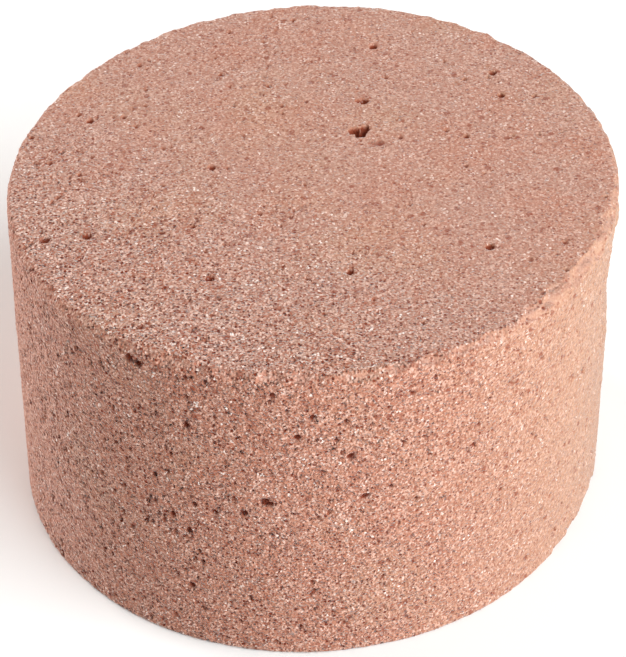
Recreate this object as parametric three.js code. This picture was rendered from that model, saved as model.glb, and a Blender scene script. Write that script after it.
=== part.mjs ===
// A block of floral foam cut as a squat round cylinder.
// Millimetres, +Z up. The origin is the centre of the box around the base,
// and the base lies flat on Z = 0.
//
// The block is one piece of open-cell foam: a tube cutter takes it out of a
// slab in one pass, and its two ends are the slab's sawn faces. The cutter
// went through a little out of square, so the ends are parallel and the side
// leans over them towards +X.

import * as THREE from "three";

const DIAMETER = 80;
const HEIGHT = 48;
const LEAN = 1.9; // how far the top stands over towards +X, past the base
const EDGE_RADIUS = 0.7; // the crumbled edge where the side meets each end

const ROUND_SEGMENTS = 120;
const EDGE_STEPS = 2; // half the facets across each eased edge

function foamProfile() {
  const inner = DIAMETER / 2 - EDGE_RADIUS;
  const profile = new THREE.Path();
  profile.moveTo(0, 0);
  profile.lineTo(inner, 0);
  profile.absarc(inner, EDGE_RADIUS, EDGE_RADIUS, -Math.PI / 2, 0);
  profile.absarc(inner, HEIGHT - EDGE_RADIUS, EDGE_RADIUS, 0, Math.PI / 2);
  profile.lineTo(0, HEIGHT);
  return profile.getPoints(EDGE_STEPS);
}

function foamCylinder() {
  const geometry = new THREE.LatheGeometry(foamProfile(), ROUND_SEGMENTS);
  geometry.rotateX(Math.PI / 2);
  const leanPerHeight = LEAN / HEIGHT;
  geometry.applyMatrix4(new THREE.Matrix4().makeShear(0, 0, 0, 0, leanPerHeight, 0));
  const material = new THREE.MeshStandardMaterial({
    color: 0xc79785,
    roughness: 0.95,
    metalness: 0,
  });
  const mesh = new THREE.Mesh(geometry, material);
  mesh.name = "foam_cylinder";
  mesh.position.x = -LEAN / 2;
  return mesh;
}

const floralFoam = new THREE.Group();
floralFoam.add(foamCylinder());

export default floralFoam;
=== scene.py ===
import math
import random

import bmesh
import bpy
import numpy as np
from bpy.props import FloatProperty, FloatVectorProperty, IntProperty, PointerProperty
from mathutils import Matrix, Vector, kdtree, noise


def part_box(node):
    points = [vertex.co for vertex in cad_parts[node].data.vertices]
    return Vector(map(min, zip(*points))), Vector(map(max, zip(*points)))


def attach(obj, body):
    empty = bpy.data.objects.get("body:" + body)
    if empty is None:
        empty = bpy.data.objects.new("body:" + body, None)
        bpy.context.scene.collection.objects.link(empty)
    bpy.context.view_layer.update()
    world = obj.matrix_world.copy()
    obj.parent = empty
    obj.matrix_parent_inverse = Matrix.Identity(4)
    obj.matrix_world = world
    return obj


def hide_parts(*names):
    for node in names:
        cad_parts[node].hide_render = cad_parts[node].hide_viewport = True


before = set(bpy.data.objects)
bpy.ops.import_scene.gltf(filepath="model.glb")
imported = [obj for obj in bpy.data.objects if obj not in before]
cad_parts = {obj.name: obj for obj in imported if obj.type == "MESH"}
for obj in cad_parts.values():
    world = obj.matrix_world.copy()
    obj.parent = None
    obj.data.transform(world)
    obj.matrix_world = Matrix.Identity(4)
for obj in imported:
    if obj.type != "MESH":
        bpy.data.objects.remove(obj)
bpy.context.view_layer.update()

bl_info = {
    "name": "Floral Foam Cylinder",
    "version": (1, 0, 0),
    "blender": (4, 5, 0),
    "location": "3D View > Sidebar > Floristry",
    "description": "Cuts a cylinder of open-cell floral foam and sets it up in a small studio",
    "category": "Add Mesh",
}

MM = 0.001
NODE = "foam_cylinder"
LOW, HIGH = (Vector(corner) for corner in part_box(NODE))
SIZE = HIGH - LOW
HEIGHT = SIZE.z
RADIUS = SIZE.y / 2
LEAN = SIZE.x - SIZE.y  # the side leans along X only, so X is longer than Y by it

# Voids that were foamed in and cut open, each as round lobes that run together.
# On the top: X, Y, radius and depth, in millimetres.
TOP_VOIDS = (
    (6.9, 9.4, 0.85, 1.8), (7.6, 8.8, 0.85, 2.0), (8.3, 9.9, 0.7, 1.8),  # the largest
    (9.2, 6.4, 0.9, 0.22), (10.1, 6.6, 0.75, 0.4),  # its shallow neighbour
    (8.4, 16.1, 0.6, 1.2), (7.7, 16.2, 0.4, 0.6),
    (32.5, -16.1, 0.5, 0.35), (31.3, -18.4, 0.4, 0.25), (27.9, -19.2, 0.5, 0.3),
    (23.0, -16.4, 0.6, 1.0), (5.1, -20.1, 0.55, 0.9), (-12.6, -20.0, 0.6, 0.9),
    (-28.3, -10.4, 0.6, 0.9), (-33.7, -10.7, 0.6, 1.0), (-12.2, 2.9, 0.5, 0.8),
    (-28.6, 14.5, 0.5, 0.8), (26.3, 21.3, 0.55, 0.9), (27.0, 16.0, 0.5, 0.8),
    (10.3, 28.8, 0.55, 0.9), (28.8, -25.9, 0.45, 0.3), (28.4, -27.4, 0.5, 0.4),
)
# On the side: degrees round from +X, then height above the base, radius and depth in millimetres.
SIDE_VOIDS = (
    (-126.0, 46.0, 0.65, 0.8), (-124.2, 45.7, 0.6, 0.9),  # the hollow just under the rim
    (-100.2, 27.1, 0.6, 0.9), (-99.3, 26.9, 0.5, 0.8),
    (-104.1, 24.8, 0.5, 0.8), (-82.1, 27.6, 0.55, 0.8), (-118.0, 21.9, 0.45, 0.7),
    (-109.6, 24.2, 0.45, 0.7), (-114.8, 19.9, 0.45, 0.7), (-113.6, 24.8, 0.45, 0.7),
    (-121.6, 27.9, 0.45, 0.7), (-91.7, 41.6, 0.5, 0.7), (-94.4, 38.3, 0.5, 0.7),
    (-98.7, 45.1, 0.4, 0.6), (-84.9, 34.7, 0.5, 0.7), (-114.7, 38.0, 0.5, 0.8),
    (-30.0, 29.7, 0.55, 0.8), (-114.6, 10.0, 0.5, 0.7),
    (-8.0, 46.0, 0.6, 1.1),  # the notch in the lip
)
# The lip of foam that the cutter pushed out under the top edge, given like the side's voids.
LIP = (
    (1.0, 45.8, 1.4, 0.1), (-3.0, 45.5, 1.4, 0.15), (-7.5, 44.3, 1.0, 0.35),
    (-11.0, 44.6, 1.2, 0.3), (-15.8, 44.8, 0.9, 0.2),
)
# Where the cutter leant in and left the side slightly hollow, given like the side's voids.
DENTS = ((-8.0, 34.0, 13.0, 0.6), (-16.0, 22.0, 9.0, 0.2))
# How wide each edge has worn: degrees round from +X, and width in millimetres.
TOP_WEAR = (
    (-180, 0.5), (-150, 0.8), (-110, 1.1), (-50, 0.9), (-44, 1.6),
    (-30, 1.5), (-14, 1.2), (0, 0.7), (180, 0.5),
)
BASE_WEAR = (
    (-180, 0.15), (-60, 0.2), (-40, 0.6), (-28, 1.7), (-12, 1.6), (0, 0.4), (180, 0.15),
)


def linear(hex_colour):
    """An sRGB hex colour as the linear values that Blender's sockets take."""
    parts = (int(hex_colour[i:i + 2], 16) / 255 for i in (0, 2, 4))
    return tuple(c / 12.92 if c <= 0.04045 else ((c + 0.055) / 1.055) ** 2.4 for c in parts)


def colour_property(name, description, hex_colour):
    """A colour that the user can change, with an sRGB hex colour as its default."""
    return FloatVectorProperty(
        name=name, description=description, default=linear(hex_colour),
        subtype="COLOR", size=3, min=0, max=1,
    )


def length_property(name, description, default):
    """A length in metres that the user can change."""
    return FloatProperty(
        name=name, description=description, default=default,
        subtype="DISTANCE", unit="LENGTH", precision=5, min=0,
    )


class FoamShape(bpy.types.PropertyGroup):
    """The form of the block: its skin, worn edges, grain and pores"""

    grid: length_property("Skin grid", "Distance between the points of the skin", 0.25 * MM)
    edge: length_property(
        "Edge radius", "How round the two edges are where they have not worn", 0.3 * MM,
    )
    bite: FloatProperty(
        name="Bites", description="How unevenly the edges have worn, as a share of the wear",
        default=0.7, min=0,
    )
    bite_size: length_property(
        "Bite size", "Distance from one bite in the edges to the next", 1.8 * MM,
    )
    lump: length_property("Lumps", "Height of the slow unevenness the cutter left", 0.10 * MM)
    lump_size: length_property("Lump size", "Distance from one lump to the next", 7 * MM)
    grain: length_property("Grain", "Height of the torn grain on the cut faces", 0.07 * MM)
    grain_size: length_property("Grain size", "Distance from one grain to the next", 0.9 * MM)
    pores: IntProperty(
        name="Pores", description="Open pores over the whole skin", default=9000, min=0,
    )
    pore_radius: length_property("Pore radius", "Radius of a middling pore", 0.17 * MM)
    seed: IntProperty(name="Seed", description="Another number gives another block", default=12)


class FoamFinish(bpy.types.PropertyGroup):
    """The colours of the foam, and the size of the pattern that its torn cells make"""

    wall: colour_property("Cell walls", "The cut walls, which catch the light", "B78C7C")
    ochre: colour_property("Ochre patches", "Where the resin has yellowed and bleached", "BB9178")
    # On the sides the rust is laid all over: painted light that makes them redder than the top.
    rust: colour_property("Rusty clouds", "Where the foam has darkened with age", "BB816B")
    # Painted shade: the colour of the scraps and crumbs that lie lowest.
    low_shade_colour: colour_property(
        "Open cells", "Low spots, redder because light meets the foam twice there", "A05A44",
    )
    # Painted highlight: the colour of scraps that tilt up, and of rubbed edges.
    painted_highlight: colour_property(
        "Pale walls", "Torn walls that stand up and are thin enough to glow", "F0C8B8",
    )
    # Painted shade: the colour of the pits, pores and voids.
    pore: colour_property("Pores", "The inside of a deep pore", "82351F")
    # Painted glints: the colour of flashes of light off cell film.
    painted_glint: colour_property("Glints", "Bits of cell film that flash", "FAEAE2")
    grain: length_property("Grain size", "From one torn cell wall to the next", 0.33 * MM)
    relief: length_property(
        "Relief", "How far the torn walls stand above the open cells", 0.42 * MM,
    )
    facet: length_property(
        "Facet size", "Width of one scrap of cell wall, which lies at its own tilt", 0.25 * MM,
    )
    tilt: FloatProperty(
        name="Facet tilt", description="How far the scraps of wall tilt, as a slope",
        default=0.9, min=0,
    )
    mottle: length_property("Mottle size", "Size of the rusty clouds", 9 * MM)


class Studio(bpy.types.PropertyGroup):
    """The camera, the lights and the floor"""

    elevation: FloatProperty(
        name="Camera elevation", description="Angle of the view above the horizon",
        default=math.radians(40.5), subtype="ANGLE", unit="ROTATION",
    )
    roll: FloatProperty(
        name="Camera roll", description="How far the camera is turned about its view",
        default=math.radians(2.7), subtype="ANGLE", unit="ROTATION",
    )
    distance: length_property(
        "Camera distance", "From the camera to the block's middle", 393.5 * MM,
    )
    lens: FloatProperty(
        name="Lens", description="Focal length in millimetres", default=158.2,
        subtype="DISTANCE_CAMERA",
    )
    aside: length_property(
        "Aim aside", "How far right of the block's middle the camera aims", 0.17 * MM,
    )
    below: length_property(
        "Aim below", "How far under the block's middle the camera aims", 1.68 * MM,
    )
    key_power: FloatProperty(
        name="Key light", description="Power of the soft box at the right",
        default=13.6, min=0, unit="POWER",
    )
    key_colour: colour_property("Key colour", "A slightly cool white", "F6FEFF")
    back_power: FloatProperty(
        name="Back light", description="Power of the low soft box behind on the left",
        default=9.5, min=0, unit="POWER",
    )
    room_light: FloatProperty(
        name="Room light", description="Strength of the light from all round",
        default=0.36, min=0,
    )
    room_colour: colour_property(
        "Room colour", "A slightly warm white, for the room and the back light", "FFF9F5",
    )
    floor: colour_property("Floor", "Colour of the floor", "F4F4F4")


# ---------------------------------------------------------------- the block


def plain_block(edge):
    """The block as the cutter leaves it: a leaning cylinder with its two edges eased."""
    block = bmesh.new()
    bmesh.ops.create_cone(
        block, cap_ends=True, cap_tris=False, segments=192,
        radius1=RADIUS, radius2=RADIUS, depth=HEIGHT,
        matrix=Matrix.Translation((0, 0, HEIGHT / 2)),
    )
    rims = [e for e in block.edges if abs(e.verts[0].co.z - e.verts[1].co.z) < MM]
    bmesh.ops.bevel(
        block, geom=rims, offset=edge, offset_type="OFFSET", segments=3,
        profile=0.5, affect="EDGES", material=-1,
    )
    lean = Matrix.Identity(4)
    lean[0][2] = LEAN / HEIGHT
    lean[0][3] = -LEAN / 2
    bmesh.ops.transform(block, matrix=lean, verts=block.verts)
    bmesh.ops.recalc_face_normals(block, faces=block.faces)
    return block


def even_skin(block, grid):
    """A mesh of the block with its skin remade as squares of one size."""
    mesh = bpy.data.meshes.new("foam_core")
    block.to_mesh(mesh)
    block.free()
    core = bpy.data.objects.new("foam_core", mesh)
    bpy.context.scene.collection.objects.link(core)
    skin = core.modifiers.new("Even skin", "REMESH")
    skin.mode = "VOXEL"
    skin.voxel_size = grid
    skin.use_smooth_shade = True
    ready = core.evaluated_get(bpy.context.evaluated_depsgraph_get())
    made = bpy.data.meshes.new_from_object(ready)
    bpy.data.objects.remove(core)
    bpy.data.meshes.remove(mesh)
    return made


def numbers(items, name, width):
    """One property of every item of a mesh, as a table with a row for each item."""
    found = np.empty(len(items) * width, np.float32)
    items.foreach_get(name, found)
    return found.reshape(-1, width).astype(float)


def axis_x(z):
    """Where the leaning axis stands at a height."""
    return LEAN * (z / HEIGHT - 0.5)


def noise_at(points, size, shift):
    """Smooth noise from about -1 to 1, with features of that size, at each point."""
    moved = Vector(shift)
    return np.array([noise.noise(Vector(p) / size + moved) for p in points])


def top_spot(x, y, radius, depth):
    """A row of TOP_VOIDS as its place, radius and depth in metres."""
    return Vector((x * MM, y * MM, HEIGHT)), radius * MM, depth * MM


def side_spot(degrees, height, radius, depth):
    """A row of SIDE_VOIDS, LIP or DENTS as its place, radius and depth in metres."""
    turn = math.radians(degrees)
    z = height * MM
    place = Vector((axis_x(z) + RADIUS * math.cos(turn), RADIUS * math.sin(turn), z))
    return place, radius * MM, depth * MM


def pores(points, shape, draw):
    """Random pores: most are small and a few large. They crowd in some places, and towards -X,
    where the foam is coarser, and fewer open on the top."""
    crowd_size = 6 * MM
    towards_left = 0.3
    off_the_top = 0.2
    top_layer = 0.1 * MM
    spread = 0.35
    widest = 0.36 * MM
    shallowest, deepest = 1.0, 1.8  # times the radius
    made = []
    while len(made) < shape.pores:
        place = Vector(points[draw.randrange(len(points))])
        crowding = 0.5 + 0.5 * noise.noise(place / crowd_size) - towards_left * place.x / RADIUS
        if place.z > HEIGHT - top_layer:
            crowding -= off_the_top
        if crowding < draw.random():
            continue
        radius = min(shape.pore_radius * draw.lognormvariate(0, spread), widest)
        made.append((place, radius, radius * draw.uniform(shallowest, deepest)))
    return made


def bowls(points, hollows, curve):
    """How deep each point lies in the hollows, which are bowls with an uneven outline. A curve
    under 1 gives steep walls and a flat bottom, and one over 1 runs out gently."""
    ragged = 0.3
    ragged_size = 0.5 * MM
    reach = 1.4  # how far the uneven outline may get, times the radius
    tree = kdtree.KDTree(len(points))
    for index, point in enumerate(points):
        tree.insert(point, index)
    tree.balance()
    deep = np.zeros(len(points))
    for place, radius, depth in hollows:
        for point, index, away in tree.find_range(place, radius * reach):
            uneven = 1 + ragged * noise.noise(point / ragged_size)
            share = 1 - (away * uneven / radius) ** 2
            if share > 0:
                deep[index] = max(deep[index], depth * share ** curve)
    return deep


def map_faces(mesh, points):
    """Lays the skin out flat: the two ends side by side, with two half turns of the side above."""
    gap = 1.2 * MM
    end_slope = 0.7  # a face that points up or down by more than this belongs to an end
    corners = np.empty(len(mesh.loops), np.int32)
    mesh.loops.foreach_get("vertex_index", corners)
    counts = np.empty(len(mesh.polygons), np.int32)
    mesh.polygons.foreach_get("loop_total", counts)
    normal = np.repeat(numbers(mesh.polygons, "normal", 3), counts, axis=0)
    centre = np.repeat(numbers(mesh.polygons, "center", 3), counts, axis=0)
    place = points[corners]

    turn = np.arctan2(place[:, 1], place[:, 0] - axis_x(place[:, 2]))
    middle = np.arctan2(centre[:, 1], centre[:, 0] - axis_x(centre[:, 2]))
    turn = middle + (turn - middle + math.pi) % (2 * math.pi) - math.pi
    back = middle > 0
    width = math.pi * RADIUS
    across = 4 * RADIUS + gap
    u = (turn + np.where(back, 0, math.pi)) / math.pi * width * across / (width + gap) + gap / 2
    v = place[:, 2] + np.where(back, HEIGHT + gap, 0) + 2 * RADIUS + 2 * gap
    for end, level, middle_u in (
        (normal[:, 2] > end_slope, HEIGHT, RADIUS),
        (normal[:, 2] < -end_slope, 0, 3 * RADIUS + gap),
    ):
        u = np.where(end, place[:, 0] - axis_x(level) + middle_u, u)
        v = np.where(end, place[:, 1] + RADIUS + gap / 2, v)
    tall = 2 * RADIUS + 2 * HEIGHT + 4 * gap
    flat = np.stack([u / across, v / tall], axis=1)
    layer = mesh.uv_layers.new(name="OFBake")
    layer.uv.foreach_set("vector", np.clip(flat, 0, 1).astype(np.float32).ravel())


def wear_edges(points, shape):
    """Where the points go once the two edges are worn to slopes, and how far each one moves. The
    slopes lie at 45 degrees, so a point goes inwards and along the axis by the same distance."""
    x = points[:, 0] - axis_x(points[:, 2])
    out = np.hypot(x, points[:, 1])
    turn = np.degrees(np.arctan2(points[:, 1], x))
    uneven = 1 + shape.bite * noise_at(points, shape.bite_size, (0, 9, 0))
    high = points[:, 2] > HEIGHT / 2
    top_width = np.interp(turn, *zip(*TOP_WEAR))
    base_width = np.interp(turn, *zip(*BASE_WEAR))
    worn = np.where(high, top_width, base_width) * MM
    from_end = np.where(high, HEIGHT - points[:, 2], points[:, 2])
    lost = np.clip(worn * uneven - (RADIUS - out) - from_end, 0, None) / 2
    inward = lost / np.maximum(out, MM)
    along = np.where(high, -lost, lost)
    return points + np.stack([-x * inward, -points[:, 1] * inward, along], axis=1), lost


def roughen(mesh, shape):
    """Gives the even skin its worn edges, lumps, torn grain, pores and voids."""
    finer = 1.8  # how many times finer the second torn grain is than the first
    base_slope = -0.5
    full_hollow = 0.8 * MM  # the depth at which the attribute "hollow" reaches 1
    full_wear = 0.5 * MM  # and the wear at which "worn" does
    smooth = numbers(mesh.vertices, "co", 3)
    normals = numbers(mesh.vertices, "normal", 3)
    map_faces(mesh, smooth)
    draw = random.Random(shape.seed)
    hollows = [top_spot(*v) for v in TOP_VOIDS] + [side_spot(*v) for v in SIDE_VOIDS]
    sunk = bowls(smooth, hollows + pores(smooth, shape, draw), curve=0.5)
    raised = bowls(smooth, [side_spot(*s) for s in LIP], curve=0.7)
    raised -= bowls(smooth, [side_spot(*s) for s in DENTS], curve=2.0)
    raised += shape.lump * noise_at(smooth, shape.lump_size, (3, 0, 0))
    raised += shape.grain * noise_at(smooth, shape.grain_size, (0, 5, 0))
    raised += shape.grain * noise_at(smooth, shape.grain_size / finer, (0, 0, 7))
    # Nothing stands out of the base, so the block still stands flat.
    underside = normals[:, 2] < base_slope
    raised = np.where(underside, np.minimum(raised, 0), raised)
    worn, lost = wear_edges(smooth, shape)
    moved = worn + normals * (raised - sunk)[:, None]
    mesh.vertices.foreach_set("co", moved.astype(np.float32).ravel())
    for name, share in (("hollow", sunk / full_hollow), ("worn", lost / full_wear)):
        layer = mesh.attributes.new(name, "FLOAT", "POINT")
        layer.data.foreach_set("value", np.clip(share, 0, 1).astype(np.float32))
    mesh.update()


# ------------------------------------------------------------- the material

# The sockets of a Mix node that blends two colours. They share their names with others.
COLOUR_A, COLOUR_B, COLOUR_OUT = 6, 7, 2


def add_node(tree, kind, inputs=None, **settings):
    """A shader node with its settings, and each input set to a value or linked to a socket."""
    node = tree.nodes.new("ShaderNode" + kind)
    for name, value in settings.items():
        setattr(node, name, value)
    for name, value in (inputs or {}).items():
        if isinstance(value, bpy.types.NodeSocket):
            tree.links.new(value, node.inputs[name])
        else:
            node.inputs[name].default_value = value
    return node


def dots(tree, place, spacing, share, widest):
    """A mask of round dots, one at a share of the points of a scattered set, with random radii
    up to the widest."""
    soft_edge = 0.12  # as a share of the spacing
    cells = add_node(tree, "TexVoronoi", {"Vector": place, "Scale": 1 / spacing})
    chance = add_node(tree, "SeparateColor", {0: cells.outputs["Color"]}).outputs[0]
    reach = add_node(
        tree, "MapRange", {"Value": chance, "From Min": 1 - share, "To Max": widest / spacing},
    ).outputs[0]
    inside = add_node(
        tree, "Math", {0: reach, 1: cells.outputs["Distance"]}, operation="SUBTRACT",
    ).outputs[0]
    return add_node(tree, "MapRange", {"Value": inside, "From Max": soft_edge}).outputs[0]


def cut_phenolic_foam(finish):
    """Cut open-cell phenolic foam. The cutter tears every cell that it meets, so the face is a
    fine crumb of broken walls and tiny pits: matt and dust-covered, with red-brown pores and a few
    bits of cell film that flash. The shade in the pores, pits and lowest scraps, the light on
    scraps that tilt up and on rubbed edges, and the flashes of film are painted into the colour."""
    # The single cells are 0.1 to 0.2 mm across, too fine to show, so the crumbs, scraps and
    # open cells are drawn two or three times that size.
    cup_spacing, cup_share, cup_radius = 0.55 * MM, 0.8, 0.25 * MM
    burst_spacing, burst_share, burst_radius = 1.5 * MM, 0.7, 0.55 * MM
    glint_cluster = 2.5 * MM
    patch = 1.6 * finish.mottle
    strongest_side = (-0.58, -0.83, 0)  # the front left

    material = bpy.data.materials.new("cut_phenolic_foam")
    material.use_nodes = True
    tree = material.node_tree
    tree.nodes.clear()
    place = add_node(tree, "TexCoord").outputs["Object"]
    normal = add_node(tree, "NewGeometry")
    facing = add_node(tree, "SeparateXYZ", {0: normal.outputs["True Normal"]}).outputs["Z"]
    hollow = add_node(tree, "Attribute", attribute_name="hollow").outputs["Fac"]
    worn = add_node(tree, "Attribute", attribute_name="worn").outputs["Fac"]

    # The patterns: soft crumbs, scraps of wall with a shade each, and two sizes of open cell.
    # A scrap's shade is the upward part of its tilt, so the colours painted by it follow the
    # light.
    crumb = add_node(
        tree, "TexNoise",
        {"Vector": place, "Scale": 1 / finish.grain, "Detail": 0.6, "Roughness": 0.5},
    ).outputs["Fac"]
    scraps = add_node(
        tree, "TexVoronoi", {"Vector": place, "Scale": 1 / finish.facet},
    ).outputs["Color"]
    shade = add_node(tree, "SeparateColor", {0: scraps}).outputs[2]
    cups = dots(tree, place, cup_spacing, cup_share, cup_radius)
    bursts = dots(tree, place, burst_spacing, burst_share, burst_radius)

    # How strong the pattern is: most at the front left, where the key light rakes across the side,
    # so the painted shade in the pits and lowest scraps and the painted highlights are strongest
    # there; less where an edge is rubbed, and a little more on the sawn top.
    towards = add_node(
        tree, "VectorMath", {0: place, 1: [part / RADIUS for part in strongest_side]},
        operation="DOT_PRODUCT",
    ).outputs["Value"]
    pattern_strength = add_node(
        tree, "MapRange", {"Value": towards, "To Min": 0.45, "To Max": 1.1},
    ).outputs[0]
    whole = add_node(tree, "MapRange", {"Value": worn, "To Min": 1.0, "To Max": 0.7}).outputs[0]
    pattern_strength = add_node(tree, "Math", {0: pattern_strength, 1: whole}, operation="MULTIPLY").outputs[0]
    sawn = add_node(
        tree, "MapRange", {"Value": facing, "From Min": 0.5, "From Max": 0.9, "To Max": 0.15},
    ).outputs[0]
    pattern_strength = add_node(tree, "Math", {0: pattern_strength, 1: sawn}, operation="ADD").outputs[0]

    # Painted shade in the pits: the open cells, and whatever lies deep in a pore or a void, are
    # painted deep red-brown for the shade that falls in them.
    deep = add_node(
        tree, "MapRange", {"Value": hollow, "From Min": 0.1, "From Max": 0.5, "To Max": 0.9},
    ).outputs[0]
    cup_shade = add_node(tree, "Math", {0: cups, 1: pattern_strength}, operation="MULTIPLY").outputs[0]
    pit_shade = add_node(tree, "Math", {0: cup_shade, 1: deep}, operation="MAXIMUM").outputs[0]
    burst_shade = add_node(tree, "Math", {0: bursts, 1: 0.6}, operation="MULTIPLY").outputs[0]
    pit_shade = add_node(tree, "Math", {0: pit_shade, 1: burst_shade}, operation="MAXIMUM").outputs[0]

    # Low: painted shade. Scraps that tilt down and crumbs that lie under the others are painted
    # darker and redder, for the shade on them and the light that bounces about inside the foam.
    downturned_shade = add_node(
        tree, "MapRange", {"Value": shade, "From Min": 0.4, "From Max": 0.0},
    ).outputs[0]
    low_shade = add_node(
        tree, "MapRange", {"Value": crumb, "From Min": 0.5, "From Max": 0.3, "To Max": 0.7},
    ).outputs[0]
    low_shade = add_node(tree, "Math", {0: low_shade, 1: downturned_shade}, operation="MAXIMUM").outputs[0]
    low_shade = add_node(tree, "Math", {0: low_shade, 1: pattern_strength}, operation="MULTIPLY").outputs[0]

    # High: painted highlights. Scraps that tilt up are painted paler, as if they glowed in the
    # light, and so is a thin band along rubbed edges, where the light catches the worn slope.
    high = add_node(
        tree, "MapRange", {"Value": shade, "From Min": 0.6, "To Max": 0.75},
    ).outputs[0]
    high = add_node(tree, "Math", {0: high, 1: pattern_strength}, operation="MULTIPLY").outputs[0]
    edge_highlight = add_node(tree, "Math", {0: worn, 1: 0.12}, operation="MULTIPLY").outputs[0]
    high = add_node(tree, "Math", {0: high, 1: edge_highlight}, operation="MAXIMUM").outputs[0]

    # Painted glints: a few of the palest scraps, which tilt furthest up, in clusters, are painted
    # near white for flashes of light off cell film, and made glossier.
    clusters = add_node(
        tree, "TexNoise", {"Vector": place, "Scale": 1 / glint_cluster},
    ).outputs["Fac"]
    flecked = add_node(
        tree, "MapRange", {"Value": clusters, "From Min": 0.48, "From Max": 0.68},
    ).outputs[0]
    painted_glint_mask = add_node(
        tree, "MapRange", {"Value": shade, "From Min": 0.93, "From Max": 0.97},
    ).outputs[0]
    painted_glint_mask = add_node(tree, "Math", {0: painted_glint_mask, 1: flecked}, operation="MULTIPLY").outputs[0]
    painted_glint_mask = add_node(tree, "Math", {0: painted_glint_mask, 1: pattern_strength}, operation="MULTIPLY").outputs[0]

    # Rust: in clouds on the top, and all over the rest, so the sides are painted redder than the
    # top for the different light that falls on them. Ochre: in soft patches, and stronger round
    # the side towards +X, where the foam has bleached.
    clouds = add_node(
        tree, "TexNoise", {"Vector": place, "Scale": 1 / finish.mottle, "Detail": 3.0},
    ).outputs["Fac"]
    rust_and_side_tint = add_node(
        tree, "MapRange", {"Value": clouds, "From Min": 0.45, "From Max": 0.7, "To Max": 0.6},
    ).outputs[0]
    off_top = add_node(
        tree, "MapRange",
        {"Value": facing, "From Min": 0.5, "From Max": 0.9, "To Min": 1.0, "To Max": 0.0},
    ).outputs[0]
    rust_and_side_tint = add_node(tree, "Math", {0: rust_and_side_tint, 1: off_top}, operation="MAXIMUM").outputs[0]
    yellowed = add_node(
        tree, "TexNoise", {"Vector": place, "Scale": 1 / patch, "Detail": 2.0},
    ).outputs["Fac"]
    yellowed = add_node(
        tree, "MapRange", {"Value": yellowed, "From Min": 0.5, "From Max": 0.7, "To Max": 0.4},
    ).outputs[0]
    across = add_node(tree, "SeparateXYZ", {0: place}).outputs["X"]
    bleached = add_node(
        tree, "MapRange", {"Value": across, "From Min": 0.25 * RADIUS, "From Max": RADIUS},
    ).outputs[0]
    bleached = add_node(tree, "Math", {0: bleached, 1: off_top}, operation="MULTIPLY").outputs[0]
    yellowed = add_node(tree, "Math", {0: yellowed, 1: bleached}, operation="MAXIMUM").outputs[0]

    skin = (*finish.wall, 1)
    for share, colour in (
        (rust_and_side_tint, finish.rust), (yellowed, finish.ochre), (low_shade, finish.low_shade_colour),
        (high, finish.painted_highlight), (pit_shade, finish.pore), (painted_glint_mask, finish.painted_glint),
    ):
        skin = add_node(
            tree, "Mix", {"Factor": share, COLOUR_A: skin, COLOUR_B: (*colour, 1)},
            data_type="RGBA",
        ).outputs[COLOUR_OUT]
    rough = add_node(tree, "MapRange", {"Value": painted_glint_mask, "To Min": 0.95, "To Max": 0.35}).outputs[0]

    # The relief: every scrap lies at its own tilt, and the open cells dip below the crumbs.
    tilt = add_node(
        tree, "VectorMath", {0: scraps, 1: (0.5, 0.5, 0.5)}, operation="SUBTRACT",
    ).outputs[0]
    slope = add_node(tree, "Math", {0: pattern_strength, 1: finish.tilt}, operation="MULTIPLY").outputs[0]
    tilt = add_node(tree, "VectorMath", {0: tilt, "Scale": slope}, operation="SCALE").outputs[0]
    tilted = add_node(
        tree, "VectorMath", {0: normal.outputs["Normal"], 1: tilt}, operation="ADD",
    ).outputs[0]
    tilted = add_node(tree, "VectorMath", {0: tilted}, operation="NORMALIZE").outputs[0]
    cup_depth = add_node(tree, "Math", {0: cups, 1: 0.5}, operation="MULTIPLY").outputs[0]
    relief = add_node(tree, "Math", {0: crumb, 1: cup_depth}, operation="SUBTRACT").outputs[0]
    bump = add_node(
        tree, "Bump",
        {"Height": relief, "Distance": finish.relief, "Strength": pattern_strength, "Normal": tilted},
    ).outputs[0]

    shader = add_node(
        tree, "BsdfPrincipled",
        {
            "Base Color": skin, "Roughness": rough, "Normal": bump,
            "IOR": 1.5, "Specular IOR Level": 0.1, "Sheen Weight": 0.4, "Sheen Roughness": 0.3,
        },
    ).outputs[0]
    add_node(tree, "OutputMaterial", {"Surface": shader})
    return material


class FLORISTRY_OT_foam_cylinder(bpy.types.Operator):
    """Cut the block of floral foam and give it its open cells"""

    bl_idname = "floristry.foam_cylinder"
    bl_label = "Cut Foam Cylinder"
    bl_options = {"REGISTER", "UNDO"}

    def execute(self, context):
        shape, finish = context.scene.foam_shape, context.scene.foam_finish
        mesh = even_skin(plain_block(shape.edge), shape.grid)
        roughen(mesh, shape)
        mesh.name = "floral_foam_cylinder"
        mesh.materials.append(cut_phenolic_foam(finish))
        block = bpy.data.objects.new("floral_foam_cylinder", mesh)
        context.scene.collection.objects.link(block)
        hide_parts(NODE)
        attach(block, "root")
        return {"FINISHED"}


# --------------------------------------------------------------- the studio


def white_paper(colour):
    """Matt white paper. Its back lets the camera through, so the block shows from below."""
    material = bpy.data.materials.new("white_paper")
    material.use_nodes = True
    tree = material.node_tree
    tree.nodes.clear()
    paper = add_node(tree, "BsdfPrincipled", {"Base Color": (*colour, 1), "Roughness": 0.9})
    clear = add_node(tree, "BsdfTransparent")
    back = add_node(tree, "NewGeometry").outputs["Backfacing"]
    mixed = add_node(
        tree, "MixShader", {"Fac": back, 1: paper.outputs[0], 2: clear.outputs[0]},
    ).outputs[0]
    add_node(tree, "OutputMaterial", {"Surface": mixed})
    return material


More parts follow.
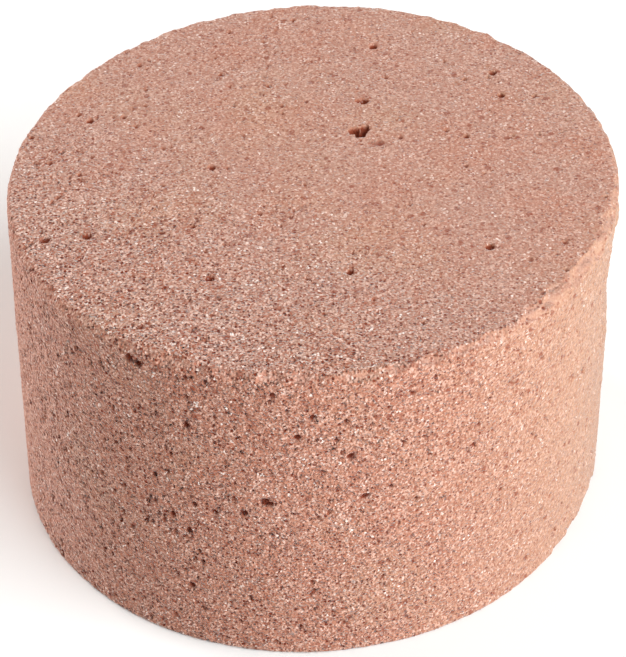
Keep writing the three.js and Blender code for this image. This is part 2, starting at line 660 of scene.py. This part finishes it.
def lay_floor(colour):
    """A wide ring of paper. It is open under the block, so the base shows from below."""
    hole = RADIUS - MM
    reach = 3  # metres
    sheet = bmesh.new()
    under = Matrix.Translation((axis_x(0), 0, 0))
    bmesh.ops.create_circle(sheet, cap_ends=False, segments=96, radius=hole, matrix=under)
    bmesh.ops.create_circle(sheet, cap_ends=False, segments=96, radius=reach)
    bmesh.ops.bridge_loops(sheet, edges=sheet.edges[:])
    sheet.normal_update()
    bmesh.ops.reverse_faces(sheet, faces=[f for f in sheet.faces if f.normal.z < 0])
    mesh = bpy.data.meshes.new("floor")
    sheet.to_mesh(mesh)
    sheet.free()
    mesh.materials.append(white_paper(colour))
    floor = bpy.data.objects.new("floor", mesh)
    bpy.context.scene.collection.objects.link(floor)


def soft_light(name, azimuth, elevation, distance, size, power, colour):
    """A square soft box that faces the block's middle. Azimuth 0 is the front, 90 the right."""
    light = bpy.data.lights.new(name, "AREA")
    light.color = colour
    light.shape = "SQUARE"
    light.size = size
    light.energy = power
    box = bpy.data.objects.new(name, light)
    turn = math.radians(azimuth)
    rise = math.radians(elevation)
    away = Vector((
        math.sin(turn) * math.cos(rise), -math.cos(turn) * math.cos(rise), math.sin(rise),
    ))
    box.location = Vector((0, 0, HEIGHT / 2)) + away * distance
    box.rotation_euler = away.to_track_quat("Z", "Y").to_euler()
    bpy.context.scene.collection.objects.link(box)


def light_room(colour, strength):
    """The same soft light from all round."""
    world = bpy.data.worlds.new("studio")
    world.use_nodes = True
    background = world.node_tree.nodes["Background"]
    background.inputs["Color"].default_value = (*colour, 1)
    background.inputs["Strength"].default_value = strength
    bpy.context.scene.world = world


def place_camera(studio):
    """The camera, aimed from the front and slightly off the block's middle."""
    camera = bpy.data.cameras.new("camera")
    camera.lens = studio.lens
    camera.sensor_width = 36
    camera.clip_start = 0.01
    camera.clip_end = 20
    view = bpy.data.objects.new("camera", camera)
    turned = Matrix.Rotation(math.pi / 2 - studio.elevation, 4, "X")
    turned @= Matrix.Rotation(-studio.roll, 4, "Z")
    aim = Vector((0, 0, HEIGHT / 2))
    seen_from = Vector((studio.aside, -studio.below, studio.distance))
    view.matrix_world = Matrix.Translation(aim + turned.to_3x3() @ seen_from) @ turned
    bpy.context.scene.collection.objects.link(view)
    bpy.context.scene.camera = view


class FLORISTRY_OT_studio(bpy.types.Operator):
    """Set up the floor, the soft lights and the camera"""

    bl_idname = "floristry.studio"
    bl_label = "Set Up Studio"
    bl_options = {"REGISTER", "UNDO"}

    def execute(self, context):
        studio = context.scene.foam_studio
        lay_floor(studio.floor)
        soft_light(
            "key", azimuth=52, elevation=34, distance=0.9, size=0.9,
            power=studio.key_power, colour=studio.key_colour,
        )
        soft_light(
            "back_left", azimuth=-128, elevation=14, distance=0.9, size=0.5,
            power=studio.back_power, colour=studio.room_colour,
        )
        light_room(studio.room_colour, studio.room_light)
        context.scene.view_settings.view_transform = "Standard"
        place_camera(studio)
        return {"FINISHED"}


class FLORISTRY_PT_panel(bpy.types.Panel):
    """Lists the steps that make the block and its studio"""

    bl_label = "Floral Foam"
    bl_idname = "FLORISTRY_PT_panel"
    bl_space_type = "VIEW_3D"
    bl_region_type = "UI"
    bl_category = "Floristry"

    def draw(self, context):
        scene = context.scene
        for settings, operator in (
            (scene.foam_shape, FLORISTRY_OT_foam_cylinder.bl_idname),
            (scene.foam_finish, None),
            (scene.foam_studio, FLORISTRY_OT_studio.bl_idname),
        ):
            box = self.layout.box()
            for name in settings.__annotations__:
                box.prop(settings, name)
            if operator:
                box.operator(operator)


CLASSES = (
    FoamShape, FoamFinish, Studio,
    FLORISTRY_OT_foam_cylinder, FLORISTRY_OT_studio, FLORISTRY_PT_panel,
)


def register():
    for made in CLASSES:
        bpy.utils.register_class(made)
    bpy.types.Scene.foam_shape = PointerProperty(type=FoamShape)
    bpy.types.Scene.foam_finish = PointerProperty(type=FoamFinish)
    bpy.types.Scene.foam_studio = PointerProperty(type=Studio)


def unregister():
    del bpy.types.Scene.foam_studio
    del bpy.types.Scene.foam_finish
    del bpy.types.Scene.foam_shape
    for made in reversed(CLASSES):
        bpy.utils.unregister_class(made)


def main():
    register()
    bpy.ops.floristry.foam_cylinder()
    bpy.ops.floristry.studio()


if __name__ == "__main__":
    main()
